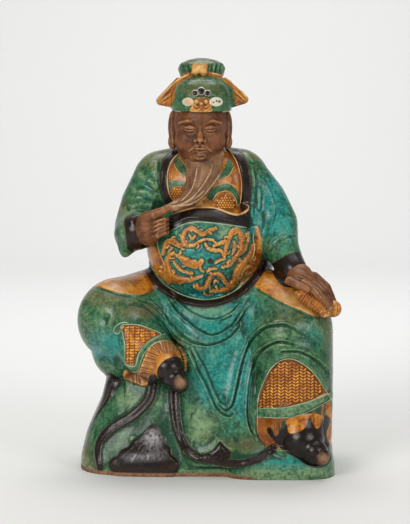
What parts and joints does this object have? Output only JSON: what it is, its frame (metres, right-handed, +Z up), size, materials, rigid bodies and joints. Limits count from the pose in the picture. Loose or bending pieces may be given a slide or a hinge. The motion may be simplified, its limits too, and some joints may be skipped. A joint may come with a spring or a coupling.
{
  "type": "roof ridge guardian figure",
  "caption": "Seated guardian figure in a robe, armour and cap, moulded in glazed stoneware as one piece with its rock seat, for a roof ridge or a niche.",
  "frame": {"origin": "middle of the figure's box, on the underside of the rock", "axes": "+Z up, -Y out of the figure's front, +X towards its left hand"},
  "size_m": [0.3732, 0.2336, 0.5781],
  "materials": {
    "green_glaze": "green lead glaze with amber and aubergine parts and bare brown skin, worn at the edges"
  },
  "bodies": {
    "root": {"guardian_figure": "green_glaze"}
  },
  "joints": []
}
